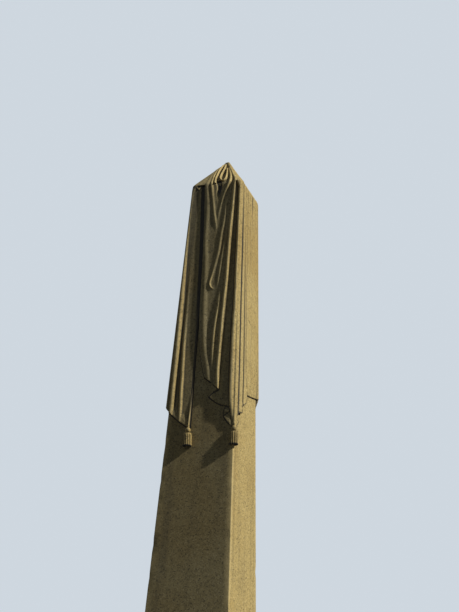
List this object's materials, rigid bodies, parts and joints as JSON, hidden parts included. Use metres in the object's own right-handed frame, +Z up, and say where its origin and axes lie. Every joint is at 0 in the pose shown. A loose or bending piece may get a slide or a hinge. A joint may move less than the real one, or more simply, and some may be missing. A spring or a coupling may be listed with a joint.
{
  "type": "draped obelisk monument",
  "caption": "Tapering granite obelisk with a pyramid point, a carved pall with tassels hung over its top, and a stepped, moulded base.",
  "frame": {"origin": "middle of the underside of the bottom step, on the ground", "axes": "+Z up the shaft, -Y towards the front face, +X towards the right face as seen from the front"},
  "size_m": [1.86, 1.86, 7.703],
  "materials": {
    "granite_stones": "fine axed, weathered",
    "carved_granite": "carved, weathered",
    "bedding_mortar": "set back, rough"
  },
  "bodies": {
    "root": {"back_crown": "carved_granite", "back_left_fall": "carved_granite", "back_left_tassel": "carved_granite", "back_lower_return": "carved_granite", "back_middle_fall": "carved_granite", "back_right_fall": "carved_granite", "back_tassel": "carved_granite", "back_upper_return": "carved_granite", "bottom_step": "granite_stones", "cap_bed": "bedding_mortar", "crown_peak": "carved_granite", "die": "granite_stones", "die_bed": "bedding_mortar", "die_cap": "granite_stones", "front_crown": "carved_granite", "front_left_fall": "carved_granite", "front_lower_return": "carved_granite", "front_middle_fall": "carved_granite", "front_right_fall": "carved_granite", "front_right_tassel": "carved_granite", "front_tassel": "carved_granite", "front_upper_return": "carved_granite", "left_corner_roll": "carved_granite", "left_crown": "carved_granite", "left_middle_fall": "carved_granite", "left_narrow_fall": "carved_granite", "left_wide_fall": "carved_granite", "moulded_plinth": "granite_stones", "plinth_bed": "bedding_mortar", "right_corner_roll": "carved_granite", "right_crown": "carved_granite", "right_middle_fall": "carved_granite", "right_narrow_fall": "carved_granite", "right_wide_fall": "carved_granite", "seat_bed": "bedding_mortar", "shaft": "granite_stones", "shaft_bed": "bedding_mortar", "shaft_seat": "granite_stones", "upper_step": "granite_stones", "upper_step_bed": "bedding_mortar"}
  },
  "joints": []
}
